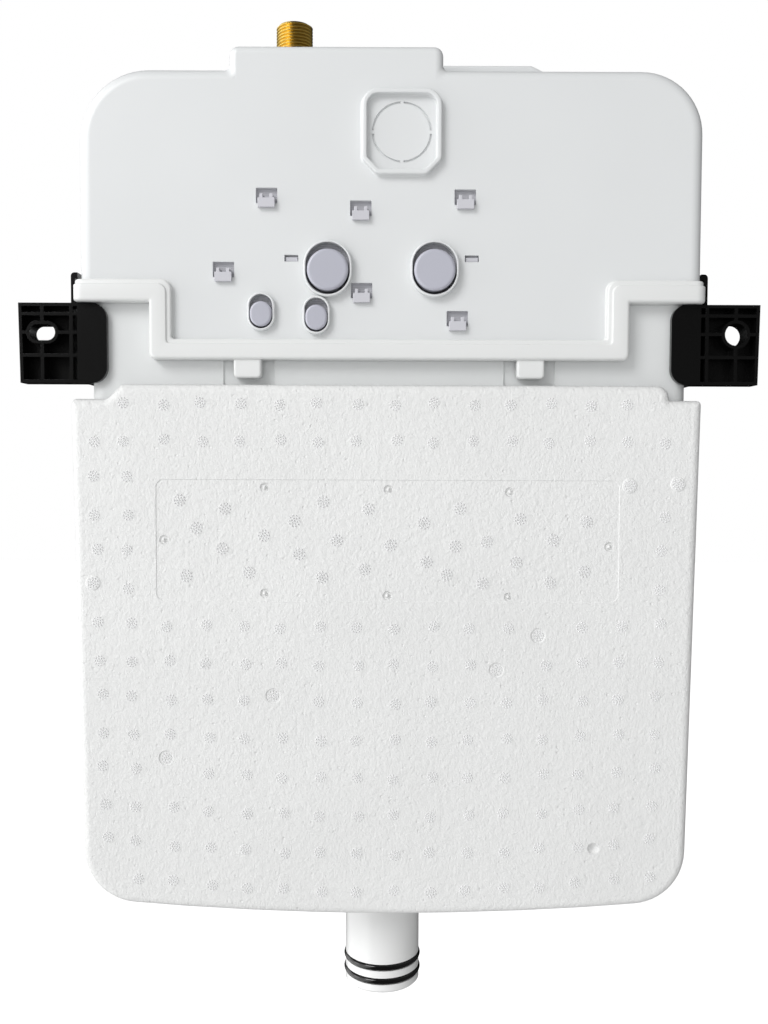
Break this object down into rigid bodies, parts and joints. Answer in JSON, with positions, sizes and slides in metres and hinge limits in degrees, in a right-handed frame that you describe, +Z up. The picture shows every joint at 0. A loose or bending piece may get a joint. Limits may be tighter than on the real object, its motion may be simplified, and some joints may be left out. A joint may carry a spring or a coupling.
{
  "type": "concealed toilet cistern",
  "caption": "Slim concealed toilet cistern: moulded tank and stepped cover in a foam shell, side brackets, dual-flush push pads, threaded inlet, float valve and sealed outlet spigot.",
  "frame": {"origin": "on the flat rear face of the tank, mid width, level with the bracket fixing holes", "axes": "+X to the right seen from the room, +Y into the wall behind the tank, +Z up"},
  "size_m": [0.4044, 0.1, 0.562],
  "materials": {
    "white_plastic": "glossy",
    "foam": "matt, beaded",
    "black_plastic": "satin",
    "brass": "machined",
    "black_rubber": "matt",
    "grey_plastic": "satin",
    "natural_plastic": "satin",
    "steel": "drawn"
  },
  "bodies": {
    "cistern": {"lower_tank": "white_plastic", "top_cover": "white_plastic", "seam_seal": "black_rubber", "foam_shell": "foam", "bracket_left": "black_plastic", "bracket_right": "black_plastic", "inlet_nipple": "brass", "inlet_lock_nut": "brass", "inlet_seal": "black_rubber", "supply_tube": "white_plastic", "fill_valve_body": "natural_plastic", "fill_valve_clip": "grey_plastic", "refill_tube": "white_plastic", "lever_pin": "steel", "valve_base": "natural_plastic", "base_seal": "black_rubber", "base_nut": "natural_plastic", "flush_pipe": "white_plastic", "pipe_o_rings": "black_rubber", "valve_cage": "natural_plastic", "carrier_plate": "grey_plastic", "rocker_axle": "steel", "full_pad_spring": "steel", "half_pad_spring": "steel", "release_spring_left": "steel", "release_spring_right": "steel"},
    "full_pad": {"full_flush_pad": "grey_plastic"},
    "half_pad": {"half_flush_pad": "grey_plastic"},
    "left_release": {"release_pad_left": "grey_plastic"},
    "right_release": {"release_pad_right": "grey_plastic"},
    "full_crank": {"full_rocker": "natural_plastic"},
    "half_crank": {"half_rocker": "natural_plastic"},
    "flush_valve": {"overflow_tube": "white_plastic", "valve_seal": "black_rubber", "full_lift_rod": "grey_plastic"},
    "half_lift": {"half_flush_float": "grey_plastic", "half_lift_rod": "grey_plastic"},
    "fill_float": {"fill_float": "natural_plastic"},
    "lever": {"float_lever": "grey_plastic"}
  },
  "joints": [
    {"name": "full_pad_push", "type": "slide", "parent": "cistern", "child": "full_pad", "axis": [0, 1, 0], "range_m": [0, 0.009], "stiffness_N_per_m": 250, "springref_m": -0.006, "deforming": ["full_pad_spring"]},
    {"name": "half_pad_push", "type": "slide", "parent": "cistern", "child": "half_pad", "axis": [0, 1, 0], "range_m": [0, 0.009], "stiffness_N_per_m": 250, "springref_m": -0.006, "deforming": ["half_pad_spring"]},
    {"name": "left_release_push", "type": "slide", "parent": "cistern", "child": "left_release", "axis": [0, 1, 0], "range_m": [0, 0.005], "stiffness_N_per_m": 300, "springref_m": -0.004, "deforming": ["release_spring_left"]},
    {"name": "right_release_push", "type": "slide", "parent": "cistern", "child": "right_release", "axis": [0, 1, 0], "range_m": [0, 0.005], "stiffness_N_per_m": 300, "springref_m": -0.004, "deforming": ["release_spring_right"]},
    {"name": "full_rocker_turn", "type": "hinge", "parent": "cistern", "child": "full_crank", "pos_m": [-0.0334, -0.062, 0.0536], "axis": [1, 0, 0], "range_deg": [0, 25.79]},
    {"name": "half_rocker_turn", "type": "hinge", "parent": "cistern", "child": "half_crank", "pos_m": [0.0245, -0.062, 0.0536], "axis": [1, 0, 0], "range_deg": [0, 25.79]},
    {"name": "flush_valve_lift", "type": "slide", "parent": "cistern", "child": "flush_valve", "axis": [0, 0, 1], "range_m": [0, 0.00766]},
    {"name": "half_float_lift", "type": "slide", "parent": "cistern", "child": "half_lift", "axis": [0, 0, 1], "range_m": [0, 0.00766]},
    {"name": "fill_float_rise", "type": "slide", "parent": "cistern", "child": "fill_float", "axis": [0, 0, 1], "range_m": [0, 0.01]},
    {"name": "float_lever_turn", "type": "hinge", "parent": "cistern", "child": "lever", "pos_m": [-0.0442, -0.0545, -0.022], "axis": [0, 1, 0], "range_deg": [0, 26.05]}
  ],
  "couplings": [
    {"joint": "full_rocker_turn", "follows": "full_pad_push", "rad_per_m": 50},
    {"joint": "flush_valve_lift", "follows": "full_pad_push", "ratio": 0.85},
    {"joint": "half_rocker_turn", "follows": "half_pad_push", "rad_per_m": 50},
    {"joint": "half_float_lift", "follows": "half_pad_push", "ratio": 0.85},
    {"joint": "float_lever_turn", "follows": "fill_float_rise", "rad_per_m": 45.455}
  ]
}
